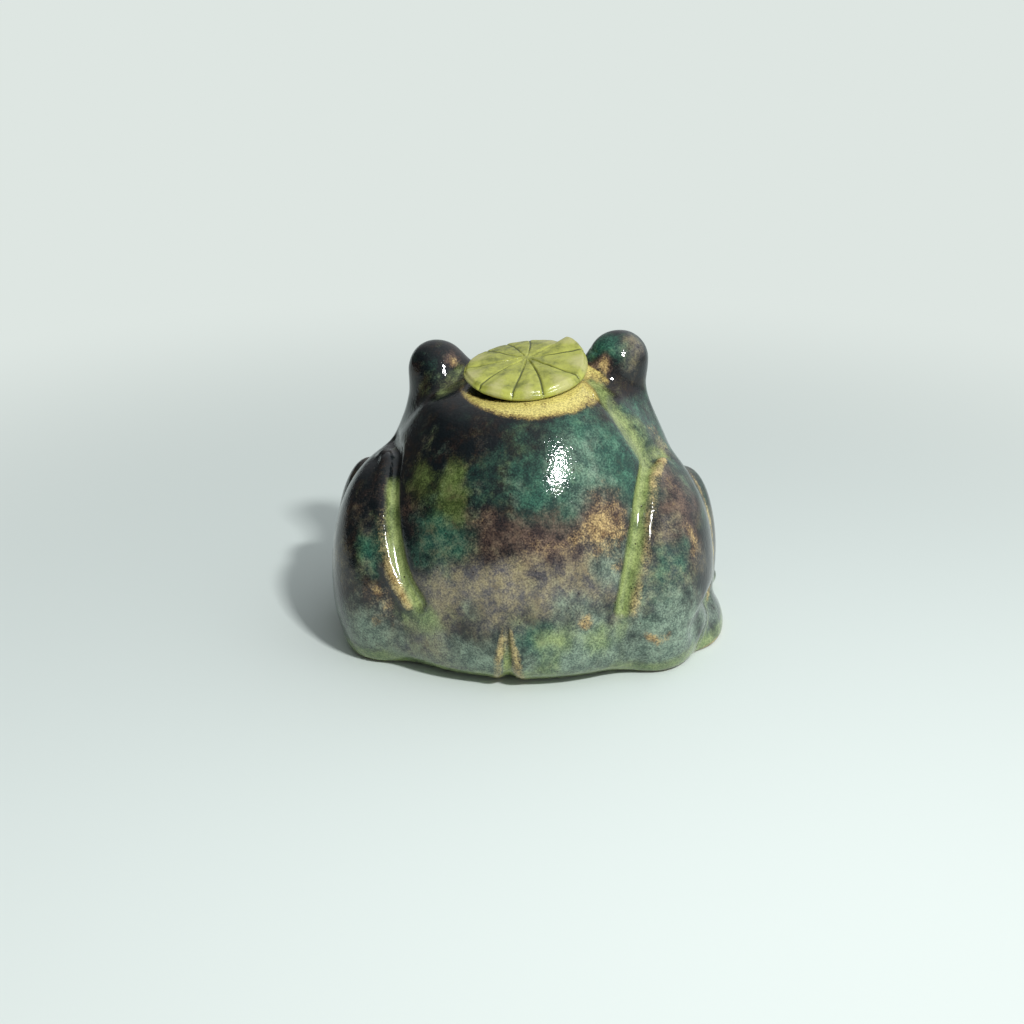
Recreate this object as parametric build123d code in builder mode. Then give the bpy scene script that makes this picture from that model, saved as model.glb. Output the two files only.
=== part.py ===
"""A lidded frog jar, hand built in stoneware.

The jar is a hollow pot, wide and round below and drawn in to a mouth at the crown. The eyes,
hind legs, forelegs, feet and toes are clay pieces luted onto it, and a lily pad closes the mouth.

Frame: millimetres, +Z up, the frog faces -Y and its own left side is +X. The origin is the
middle of the flat base.
"""

import os
from math import asin, cos, radians, sin, tan

from build123d import *

# Pot
body_width = 96.0
body_depth = 94.0
body_height = 82.0
wall = 5.0
pot_floor = 6.0
crown_wall = 7.3
# Height, half width, half depth, shift to the frog's left and shift to the back, as shares of the
# height, the half width and the half depth
body_section_shares = (
    (0.00, 0.860, 0.765, 0.000, 0.040),
    (0.04, 0.935, 0.865, 0.000, 0.055),
    (0.13, 0.985, 0.955, 0.000, 0.060),
    (0.28, 1.000, 0.990, 0.000, 0.050),
    (0.48, 0.945, 1.000, -0.005, -0.010),
    (0.64, 0.838, 0.920, -0.020, -0.050),
    (0.79, 0.680, 0.720, -0.030, -0.020),
    (0.90, 0.470, 0.480, -0.020, 0.070),
    (1.00, 0.200, 0.205, -0.020, 0.100),
)

# Mouth at the crown, which leans to the frog's left and to the back. Its place is left, back and up,
# as shares of the half width, the half depth and the height
mouth_place_shares = (-0.021, 0.085, 0.927)
mouth_lean_left = 6.0
mouth_lean_back = 8.0
mouth_share = 0.266
mouth_depth = 20.0
rim_round = 2.4
bore_round = 0.8

# Carved lines: the mouth line round the face, the nostrils and the cleft at the back
line_depth = 1.4
line_width = 1.6
smile_height = 44.0
smile_rise = 9.0
smile_back_share = -0.45
nostril_radius = 1.3
nostril_spread = 13.0
nostril_height = 54.0
cleft_width = 2.6
cleft_height = 15.0

# Eyes: balls on thick necks
eye_radius = 8.4
eye_neck_radius = 7.8
eye_out_share = 0.531
eye_back_share = -0.17

# Hind legs: the thigh lies along the side of the pot and the shin is folded against its front.
# Lengths are shares of the pot's depth, heights are shares of its height
thigh_thickness = 31.0
thigh_length_share = 0.5426
thigh_height_share = 0.756
thigh_lean = 17.0
thigh_place_shares = (0.80, 0.215, 0.272)
shin_thickness = 20.0
shin_length_share = 0.287
shin_height_share = 0.634
shin_lean = 9.0
shin_back_share = -0.13
shin_up_share = 0.25

# Hind feet and their toes, which turn out from straight ahead by these angles. The foot's length and
# the toes' reach are shares of the pot's depth
foot_width = 21.0
foot_length_share = 0.4255
foot_height = 12.0
foot_back_share = -0.07
hind_toe_radius = 3.7
hind_toe_root_radius = 2.9
hind_toe_reach_share = 0.319
hind_toe_turns = (10.0, -4.0, -18.0)
hind_toe_shares = (0.96, 1.00, 0.96)

# Forelegs and their toes
shoulder_radius = 9.0
wrist_radius = 5.6
shoulder_place_shares = (0.58, -0.66, 0.42)
wrist_place_shares = (0.46, -1.04)
fore_toe_radius = 2.9
fore_toe_root_radius = 2.4
fore_toe_reach = 11.0
fore_toe_turns = (38.0, 4.0, -30.0)

# Share of a toe's reach that its root stands away from the middle of the foot
toe_root_share = 0.3

# Lily pad lid
leaf_radius = 17.2
leaf_edge = 3.0
leaf_rise = 3.0
leaf_round = 1.3
leaf_hub_radius = 1.8
leaf_gap = 0.15
sinus_turn = 225.0
sinus_width = 3.0
sinus_length = 19.0
vein_count = 10
vein_start = 2.6
vein_end = 15.0
vein_radius = 0.45
vein_lift = 0.1
ring_clearance = 0.6
ring_wall = 3.2
ring_height = 6.0

# The two sides, which a hand built frog has a little unlike: sign of X, the eye's height as a share
# of the pot's height, and how far out shin and foot stand as shares of its half width
side_shares = (
    ("left", 1, 0.902, 0.965, 0.93),
    ("right", -1, 0.951, 0.940, 0.99),
)

cut_overrun = 60.0
full_turn = 360.0
half_width = body_width / 2
half_depth = body_depth / 2
thigh_length = thigh_length_share * body_depth
thigh_height = thigh_height_share * body_height
shin_length = shin_length_share * body_depth
shin_height = shin_height_share * body_height
foot_length = foot_length_share * body_depth
hind_toe_reach = hind_toe_reach_share * body_depth
mouth_radius = mouth_share * min(half_width, half_depth)


def body_form(sections, inset, bottom, top):
    """The pot's form through its sections, drawn in by inset and stretched from bottom to top."""
    with BuildPart() as form:
        for height_share, width_share, depth_share, left_share, back_share in sections:
            with BuildSketch(Plane.XY.offset(bottom + height_share * (top - bottom))):
                with Locations((left_share * half_width, back_share * half_depth)):
                    Ellipse(width_share * half_width - inset, depth_share * half_depth - inset)
        loft()
    return form.part


def ellipsoid(half_sizes, place):
    """A ball stretched to three half sizes along the axes of a plane."""
    with BuildPart() as ball:
        Sphere(1)
        scale(by=half_sizes)
    return place.location * ball.part


def tapered_limb(root, tip, root_radius, tip_radius):
    """A round limb from root to tip, its side tangent to a ball at each end."""
    along = tip - root
    slope = asin((root_radius - tip_radius) / along.length)
    across = along.cross(Vector(0, 0, 1))
    with BuildPart() as limb:
        with BuildSketch(Plane(origin=root, x_dir=along, z_dir=across)):
            with BuildLine():
                root_side = (root_radius * sin(slope), root_radius * cos(slope))
                tip_side = (along.length + tip_radius * sin(slope), tip_radius * cos(slope))
                RadiusArc((-root_radius, 0), root_side, root_radius)
                Line(root_side, tip_side)
                RadiusArc(tip_side, (along.length + tip_radius, 0), tip_radius)
                Line((along.length + tip_radius, 0), (-root_radius, 0))
            make_face()
        revolve(axis=Axis(root, along))
    return limb.part


os.makedirs("parts", exist_ok=True)

# Solid form of the pot, which every luted piece is fitted to
pot_form = body_form(body_section_shares, 0, 0, body_height)
left_share, back_share, up_share = mouth_place_shares
mouth_plane = Plane(
    origin=(left_share * half_width, back_share * half_depth, up_share * body_height),
    x_dir=(1, 0, 0),
    z_dir=(tan(radians(mouth_lean_left)), tan(radians(mouth_lean_back)), 1),
)

# Carving tools: slabs that reach only line_depth into the pot
carving_core = body_form(body_section_shares, line_depth, 0, body_height)
smile_plane = Plane(origin=(0, -half_depth, smile_height)).rotated((smile_rise, 0, 0))
with BuildPart() as smile_line:
    with BuildSketch(smile_plane):
        with Locations((0, (1 + smile_back_share) * half_depth / 2 - cut_overrun / 2)):
            Rectangle(body_width + cut_overrun, (1 + smile_back_share) * half_depth + cut_overrun)
    extrude(amount=line_width / 2, both=True)
    add(carving_core, mode=Mode.SUBTRACT)

with BuildPart() as rear_cleft:
    with BuildSketch(Plane.XZ):
        with BuildLine():
            Polyline(
                (-cleft_width / 2, 0), (cleft_width / 2, 0), (0, cleft_height), close=True
            )
        make_face()
    extrude(amount=-body_depth)
    add(carving_core, mode=Mode.SUBTRACT)

with BuildPart() as nostrils:
    for sign in (1, -1):
        with Locations(Plane((sign * nostril_spread / 2, 0, nostril_height), z_dir=(0, -1, 0))):
            Cylinder(nostril_radius, body_depth, align=(Align.CENTER, Align.CENTER, Align.MIN))
    add(carving_core, mode=Mode.SUBTRACT)

# Hollow of the pot, which stops one section short of the crown
cavity = body_form(body_section_shares[:-1], wall, pot_floor, body_height - crown_wall)

# Jar body
with BuildPart() as jar_body:
    add(pot_form)
    split(bisect_by=mouth_plane, keep=Keep.BOTTOM)
    fillet(jar_body.faces().sort_by(Axis.Z)[-1].edges(), rim_round)
    add(cavity, mode=Mode.SUBTRACT)
    with Locations(mouth_plane):
        Cylinder(mouth_radius, 2 * mouth_depth, mode=Mode.SUBTRACT)
    fillet(jar_body.edges().filter_by(GeomType.CIRCLE).sort_by(Axis.Z)[-1], bore_round)
    for carving in (smile_line, rear_cleft, nostrils):
        add(carving.part, mode=Mode.SUBTRACT)
jar_body.part.label = "jar_body"
export_step(jar_body.part, "parts/jar_body.step")

for side, sign, eye_up_share, shin_out_share, foot_out_share in side_shares:
    # Eye: a ball on a short neck that is luted to the crown
    eye_place = Vector(
        sign * eye_out_share * half_width, eye_back_share * half_depth, eye_up_share * body_height
    )
    with BuildPart() as eye:
        with Locations(eye_place):
            Sphere(eye_radius)
            Cylinder(
                eye_neck_radius, eye_place.Z / 2, align=(Align.CENTER, Align.CENTER, Align.MAX)
            )
        add(pot_form, mode=Mode.SUBTRACT)
    eye.part.label = f"{side}_eye"
    export_step(eye.part, f"parts/{side}_eye.step")

    # Thigh: a flattened egg along the flank, its top leaning forward
    out_share, back_share, up_share = thigh_place_shares
    thigh_plane = Plane(
        origin=(sign * out_share * half_width, back_share * half_depth, up_share * body_height)
    ).rotated((thigh_lean, 0, 0))
    with BuildPart() as thigh:
        add(ellipsoid((thigh_thickness / 2, thigh_length / 2, thigh_height / 2), thigh_plane))
        add(pot_form, mode=Mode.SUBTRACT)
        split(bisect_by=Plane.XY, keep=Keep.TOP)
    thigh.part.label = f"{side}_thigh"
    export_step(thigh.part, f"parts/{side}_thigh.step")

    # Shin: folded against the front of the thigh
    shin_out = sign * shin_out_share * half_width
    shin_plane = Plane(
        origin=(shin_out, shin_back_share * half_depth, shin_up_share * body_height)
    ).rotated((shin_lean, 0, 0))
    with BuildPart() as shin:
        add(ellipsoid((shin_thickness / 2, shin_length / 2, shin_height / 2), shin_plane))
        add(pot_form, mode=Mode.SUBTRACT)
        add(thigh.part, mode=Mode.SUBTRACT)
        split(bisect_by=Plane.XY, keep=Keep.TOP)
    shin.part.label = f"{side}_shin"
    export_step(shin.part, f"parts/{side}_shin.step")

    # Hind foot: a flat pad under the shin
    foot_place = Vector(sign * foot_out_share * half_width, foot_back_share * half_depth, 0)
    pad = ellipsoid((foot_width / 2, foot_length / 2, foot_height), Plane(origin=foot_place))
    with BuildPart() as hind_foot:
        add(pad)
        for carrier in (pot_form, thigh.part, shin.part):
            add(carrier, mode=Mode.SUBTRACT)
        split(bisect_by=Plane.XY, keep=Keep.TOP)
    hind_foot.part.label = f"{side}_hind_foot"
    export_step(hind_foot.part, f"parts/{side}_hind_foot.step")

    # Hind toes: coils with round ends, fanned out from the pad
    with BuildPart() as hind_toes:
        for turn, reach_share in zip(hind_toe_turns, hind_toe_shares):
            heading = Vector(sign * sin(radians(turn)), -cos(radians(turn)), 0)
            reach = heading * hind_toe_reach * reach_share
            root = foot_place + reach * toe_root_share + Vector(0, 0, hind_toe_root_radius)
            tip = foot_place + reach + Vector(0, 0, hind_toe_radius)
            add(tapered_limb(root, tip, hind_toe_root_radius, hind_toe_radius))
        for carrier in (pot_form, pad):
            add(carrier, mode=Mode.SUBTRACT)
    hind_toes.part.label = f"{side}_hind_toes"
    export_step(hind_toes.part, f"parts/{side}_hind_toes.step")

    # Foreleg: a tapered coil from the shoulder down to the wrist
    out_share, back_share, up_share = shoulder_place_shares
    shoulder = Vector(
        sign * out_share * half_width, back_share * half_depth, up_share * body_height
    )
    out_share, back_share = wrist_place_shares
    wrist = Vector(sign * out_share * half_width, back_share * half_depth, wrist_radius)
    with BuildPart() as foreleg:
        add(tapered_limb(shoulder, wrist, shoulder_radius, wrist_radius))
        add(pot_form, mode=Mode.SUBTRACT)
    foreleg.part.label = f"{side}_foreleg"
    export_step(foreleg.part, f"parts/{side}_foreleg.step")

    # Fore toes: small coils fanned out from the wrist
    with BuildPart() as fore_toes:
        for turn in fore_toe_turns:
            heading = Vector(sign * sin(radians(turn)), -cos(radians(turn)), 0)
            reach = heading * fore_toe_reach
            root = Vector(wrist.X, wrist.Y, fore_toe_root_radius) + reach * toe_root_share
            tip = Vector(wrist.X, wrist.Y, fore_toe_radius) + reach
            add(tapered_limb(root, tip, fore_toe_root_radius, fore_toe_radius))
        add(foreleg.part, mode=Mode.SUBTRACT)
    fore_toes.part.label = f"{side}_fore_toes"
    export_step(fore_toes.part, f"parts/{side}_fore_toes.step")


def leaf_top(radius):
    """Height of the leaf's top above its underside at a distance from its middle."""
    return leaf_edge + leaf_rise * (leaf_radius - radius) / (leaf_radius - leaf_hub_radius)


# Lily pad: a low cone with a rounded edge, split by its sinus and scored with veins
leaf_plane = mouth_plane.offset(leaf_gap)
sinus_plane = Plane(leaf_plane.location * Rotation(0, 0, sinus_turn))
with BuildPart() as lily_pad:
    with BuildSketch(Plane(leaf_plane.origin, leaf_plane.x_dir, -leaf_plane.y_dir)):
        with BuildLine():
            Polyline(
                (0, 0),
                (leaf_radius, 0),
                (leaf_radius, leaf_edge),
                (leaf_hub_radius, leaf_edge + leaf_rise),
                (0, leaf_edge + leaf_rise),
                close=True,
            )
        make_face()
    revolve(axis=Axis(leaf_plane.origin, leaf_plane.z_dir))
    rim_edges = lily_pad.edges().filter_by(GeomType.CIRCLE).filter_by(
        lambda edge: edge.radius > leaf_radius / 2
    )
    fillet(rim_edges, leaf_round)
    with BuildSketch(sinus_plane):
        with BuildLine():
            Polyline(
                (leaf_hub_radius, 0),
                (sinus_length, -sinus_width / 2),
                (sinus_length, sinus_width / 2),
                close=True,
            )
        make_face()
    extrude(amount=leaf_edge + leaf_rise, mode=Mode.SUBTRACT)
    for vein in range(1, vein_count):
        vein_plane = Plane(sinus_plane.location * Rotation(0, 0, vein * full_turn / vein_count))
        start = vein_plane.from_local_coords((vein_start, 0, leaf_top(vein_start) + vein_lift))
        end = vein_plane.from_local_coords((vein_end, 0, leaf_top(vein_end) + vein_lift))
        add(tapered_limb(start, end, vein_radius, vein_radius), mode=Mode.SUBTRACT)
lily_pad.part.label = "lily_pad"
export_step(lily_pad.part, "parts/lily_pad.step")

# Locating ring under the leaf, which drops into the mouth
ring_radius = mouth_radius - ring_clearance
with BuildPart(leaf_plane) as lid_ring:
    Cylinder(ring_radius, ring_height, align=(Align.CENTER, Align.CENTER, Align.MAX))
    Cylinder(
        ring_radius - ring_wall,
        ring_height,
        align=(Align.CENTER, Align.CENTER, Align.MAX),
        mode=Mode.SUBTRACT,
    )
lid_ring.part.label = "lid_ring"
export_step(lid_ring.part, "parts/lid_ring.step")
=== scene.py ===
"""Looks of a lidded frog jar: luted stoneware under a mottled glaze, closed by a lily pad lid.

The forms below hold their lengths in millimetres, in the frame of the solids: +Z up, the frog
faces -Y and its own left side is +X. Meshes are in metres.
"""

import logging
import math
from dataclasses import dataclass, field
from enum import Enum
from typing import Any, Callable, Dict, List, Optional, Sequence, Tuple

import bpy
import numpy as np
from mathutils import Matrix, Vector


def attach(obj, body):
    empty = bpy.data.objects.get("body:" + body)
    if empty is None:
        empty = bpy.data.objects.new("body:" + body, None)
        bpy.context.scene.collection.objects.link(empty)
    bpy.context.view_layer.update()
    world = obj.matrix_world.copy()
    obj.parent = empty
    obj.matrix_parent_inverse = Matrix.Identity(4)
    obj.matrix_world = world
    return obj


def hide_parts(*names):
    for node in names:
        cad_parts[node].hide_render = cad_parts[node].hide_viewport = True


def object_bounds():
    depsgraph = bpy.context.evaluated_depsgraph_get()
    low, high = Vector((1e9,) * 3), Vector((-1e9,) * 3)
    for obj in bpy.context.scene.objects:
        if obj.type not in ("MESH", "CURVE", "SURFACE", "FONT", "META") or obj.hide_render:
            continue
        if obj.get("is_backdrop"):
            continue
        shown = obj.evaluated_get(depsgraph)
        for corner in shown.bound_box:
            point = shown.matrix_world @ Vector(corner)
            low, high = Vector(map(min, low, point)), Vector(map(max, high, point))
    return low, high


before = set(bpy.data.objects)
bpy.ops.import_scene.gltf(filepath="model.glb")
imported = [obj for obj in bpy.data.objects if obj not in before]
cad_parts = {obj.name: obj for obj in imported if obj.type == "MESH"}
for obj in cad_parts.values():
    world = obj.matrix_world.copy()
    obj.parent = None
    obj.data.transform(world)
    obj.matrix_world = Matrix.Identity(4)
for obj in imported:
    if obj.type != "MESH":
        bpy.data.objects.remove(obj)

LOG = logging.getLogger("frog_jar")
MM = 0.001
Triple = Tuple[float, float, float]


class Side(Enum):
    """The frog's own sides, with the sign of X on each."""

    LEFT = 1
    RIGHT = -1

    @property
    def word(self) -> str:
        """The side's name as the nodes spell it."""
        return self.name.lower()


class Tone(Enum):
    """Colour areas that the glaze broke into in the kiln."""

    TEAL = "teal"
    OLIVE = "olive"
    RUST = "rust"
    LILAC = "lilac"
    SEAFOAM = "seafoam"
    APPLE = "apple"
    AMBER = "amber"


def srgb(code: str) -> Tuple[float, float, float, float]:
    """Turn an sRGB hex colour into a linear one.

    Args:
        code: Six hex digits, with or without a leading hash.

    Returns:
        Linear red, green, blue and an alpha of 1.
    """
    digits = code.lstrip("#")
    parts = [int(digits[i : i + 2], 16) / 255 for i in (0, 2, 4)]
    line = [c / 12.92 if c <= 0.04045 else ((c + 0.055) / 1.055) ** 2.4 for c in parts]
    return (line[0], line[1], line[2], 1.0)


def add_node(tree: bpy.types.NodeTree, kind: str, inputs: Dict[Any, Any], **settings: Any) -> bpy.types.Node:
    """Add a node with its settings, and set or link its inputs.

    Args:
        tree: The tree that takes the node.
        kind: The node's type name.
        inputs: Input name or index to a value, or to the socket that feeds it.
        **settings: Properties of the node itself.

    Returns:
        The new node.
    """
    node = tree.nodes.new(kind)
    for name, value in settings.items():
        setattr(node, name, value)
    for key, value in inputs.items():
        if isinstance(value, bpy.types.NodeSocket):
            tree.links.new(value, node.inputs[key])
        else:
            node.inputs[key].default_value = value
    return node


def smoothstep(low: float, high: float, value: np.ndarray) -> np.ndarray:
    """Rise softly from 0 at low to 1 at high."""
    t = np.clip((value - low) / (high - low), 0.0, 1.0)
    return t * t * (3.0 - 2.0 * t)


def bell(value: np.ndarray, width: float) -> np.ndarray:
    """A soft hump of height 1 at 0 that fades over width."""
    return np.exp(-((value / width) ** 2))


def join(a: np.ndarray, b: np.ndarray, blend: float) -> np.ndarray:
    """Distance to two forms luted together with a fillet.

    Args:
        a: Distances to the first form.
        b: Distances to the second form.
        blend: Size of the fillet.

    Returns:
        Distances to the joined form.
    """
    h = np.clip(0.5 + 0.5 * (b - a) / blend, 0.0, 1.0)
    return b + (a - b) * h - blend * h * (1.0 - h)


def trim(a: np.ndarray, b: np.ndarray, blend: float) -> np.ndarray:
    """Distance to what two forms share, with a rounded edge.

    Args:
        a: Distances to the first form.
        b: Distances to the second form.
        blend: Size of the round on the edge.

    Returns:
        Distances to the common form.
    """
    return -join(-a, -b, blend)


def curve_through(knots: np.ndarray, values: np.ndarray, at: np.ndarray) -> np.ndarray:
    """Natural cubic curve through given values.

    Args:
        knots: Rising positions.
        values: Values at the knots.
        at: Positions to read, held inside the knots.

    Returns:
        The curve's values.
    """
    count, step = len(knots), np.diff(knots)
    table, right = np.eye(count), np.zeros(count)
    for i in range(1, count - 1):
        table[i, i - 1 : i + 2] = step[i - 1], 2 * (step[i - 1] + step[i]), step[i]
        right[i] = 6 * ((values[i + 1] - values[i]) / step[i] - (values[i] - values[i - 1]) / step[i - 1])
    bend = np.linalg.solve(table, right)
    x = np.clip(at, knots[0], knots[-1])
    i = np.clip(np.searchsorted(knots, x) - 1, 0, count - 2)
    a, b, h = knots[i + 1] - x, x - knots[i], step[i]
    cubic = (bend[i] * a**3 + bend[i + 1] * b**3) / (6 * h)
    return cubic + (values[i] / h - bend[i] * h / 6) * a + (values[i + 1] / h - bend[i + 1] * h / 6) * b


def wander(points: np.ndarray, span: float, seed: int) -> np.ndarray:
    """Slow unevenness of hand-worked clay, from a few seeded waves.

    Args:
        points: Places in millimetres.
        span: Length of the longest wave.
        seed: Picks the set of waves.

    Returns:
        Values of about -1 to 1.
    """
    rng = np.random.default_rng(seed)
    total = np.zeros(len(points))
    for octave in range(6):
        way = rng.normal(size=3)
        way *= 2 * math.pi * (1 + 0.35 * octave) / (span * np.linalg.norm(way))
        total += np.sin(points @ way + rng.uniform(0, 2 * math.pi)) / (1 + 0.35 * octave)
    return total / 2.6


@dataclass(frozen=True)
class Pot:
    """The thrown and squeezed pot, as ellipses up its height."""

    half_width: float = 48.0
    half_depth: float = 47.0
    height: float = 82.0
    wall: float = 5.0
    floor: float = 6.0
    crown: float = 7.3
    ceiling_share: float = 0.90
    mouth: Triple = (-1.008, 3.995, 76.014)
    lean_left: float = 6.0
    lean_back: float = 8.0
    bore: float = 12.5
    bore_depth: float = 20.0
    rim_round: float = 3.4
    # Height, half width, half depth, shift left and shift back, as shares
    sections: Tuple[Tuple[float, float, float, float, float], ...] = (
        (0.00, 0.860, 0.765, 0.000, 0.040),
        (0.04, 0.935, 0.865, 0.000, 0.055),
        (0.13, 0.985, 0.955, 0.000, 0.060),
        (0.28, 1.000, 0.990, 0.000, 0.050),
        (0.48, 0.945, 1.000, -0.005, -0.010),
        (0.64, 0.838, 0.920, -0.020, -0.050),
        (0.79, 0.680, 0.720, -0.030, -0.020),
        (0.90, 0.470, 0.480, -0.020, 0.070),
        (1.00, 0.200, 0.205, -0.020, 0.100),
    )

    def axis(self) -> np.ndarray:
        """Unit vector up out of the leaning mouth."""
        up = np.array([math.tan(math.radians(self.lean_left)), math.tan(math.radians(self.lean_back)), 1.0])
        return up / np.linalg.norm(up)

    def _side(self, points: np.ndarray, inset: float, bottom: float, top: float) -> np.ndarray:
        """Distance to the pot's side, drawn in by inset and stretched from bottom to top.

        Args:
            points: Places in millimetres.
            inset: How far the side is drawn in.
            bottom: Height of the first section.
            top: Height of the last section.

        Returns:
            Distances, negative inside.
        """
        rows = np.array(self.sections)
        knots = bottom + rows[:, 0] * (top - bottom)
        z = points[:, 2]
        wide = curve_through(knots, rows[:, 1] * self.half_width - inset, z)
        deep = curve_through(knots, rows[:, 2] * self.half_depth - inset, z)
        dx = points[:, 0] - curve_through(knots, rows[:, 3] * self.half_width, z)
        dy = points[:, 1] - curve_through(knots, rows[:, 4] * self.half_depth, z)
        away = np.hypot(dx, dy) + 1e-9
        edge = away / np.hypot(dx / wide, dy / deep)
        slope = (curve_through(knots, rows[:, 1] * self.half_width, z + 1.0) - wide - inset) / 1.0
        return (away - edge) / np.sqrt(1.0 + np.clip(slope, -3.0, 3.0) ** 2)

    def above_mouth(self, points: np.ndarray) -> np.ndarray:
        """Height above the leaning plane of the rim."""
        return (points - np.array(self.mouth)) @ self.axis()

    def outside(self, points: np.ndarray) -> np.ndarray:
        """Distance to the solid pot with its crown cut off at the rim."""
        return trim(self._side(points, 0.0, 0.0, self.height), self.above_mouth(points), self.rim_round)

    def inside(self, points: np.ndarray) -> np.ndarray:
        """Distance to the hollow with its bore, negative in the hollow."""
        top = self.height - self.crown
        ceiling = self.floor + self.ceiling_share * (top - self.floor)
        hollow = self._side(points, self.wall, self.floor, top)
        hollow = trim(trim(hollow, self.floor - points[:, 2], 4.0), points[:, 2] - ceiling, 3.0)
        rise = self.above_mouth(points)
        off = points - np.array(self.mouth) - rise[:, None] * self.axis()
        hole = trim(np.linalg.norm(off, axis=1) - self.bore, -self.bore_depth - rise, 1.0)
        return join(hollow, hole, 1.6)


@dataclass(frozen=True)
class Egg:
    """A flattened egg of clay whose top leans forward."""

    centre: Triple
    half: Triple
    lean: float = 0.0

    def distance(self, points: np.ndarray) -> np.ndarray:
        """Distance to the egg, negative inside."""
        c, s = math.cos(math.radians(self.lean)), math.sin(math.radians(self.lean))
        p = points - np.array(self.centre)
        p = np.stack([p[:, 0], c * p[:, 1] + s * p[:, 2], -s * p[:, 1] + c * p[:, 2]], 1)
        near = np.linalg.norm(p / np.array(self.half), axis=1) + 1e-9
        steep = np.linalg.norm(p / np.array(self.half) ** 2, axis=1) + 1e-9
        return near * (near - 1.0) / steep


@dataclass(frozen=True)
class Coil:
    """A rolled coil of clay with round ends."""

    root: Triple
    tip: Triple
    root_radius: float
    tip_radius: float

    def distance(self, points: np.ndarray) -> np.ndarray:
        """Distance to the coil, negative inside."""
        root, along = np.array(self.root), np.array(self.tip) - np.array(self.root)
        share = np.clip(((points - root) @ along) / (along @ along), 0.0, 1.0)
        off = np.linalg.norm(points - root - share[:, None] * along, axis=1)
        return off - self.root_radius - share * (self.tip_radius - self.root_radius)


@dataclass(frozen=True)
class Scoring:
    """A line drawn in the clay, or a fold pressed into it, along points on the skin."""

    line: Tuple[Triple, ...]
    width: float
    depth: float

    def curve(self) -> np.ndarray:
        """The line as a smooth curve through its points."""
        knots = np.arange(len(self.line), dtype=float)
        at = np.linspace(0.0, knots[-1], 5 * len(self.line))
        return np.stack([curve_through(knots, column, at) for column in np.array(self.line).T], 1)

    def distance(self, points: np.ndarray) -> np.ndarray:
        """Distance to the curve, worked out only near it and large elsewhere."""
        curve, reach = self.curve(), 4.0 * self.width + 4.0
        near = np.all((points > curve.min(0) - reach) & (points < curve.max(0) + reach), axis=1)
        spots, best = points[near], np.full(near.sum(), 1e9)
        for a, b in zip(curve[:-1], curve[1:]):
            best = np.minimum(best, Coil(tuple(a), tuple(b), 0.0, 0.0).distance(spots))
        total = np.full(len(points), 1e3)
        total[near] = best
        return total

    def cut(self, points: np.ndarray) -> np.ndarray:
        """Depth of the line at each place."""
        return self.depth * bell(self.distance(points), self.width)


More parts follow.
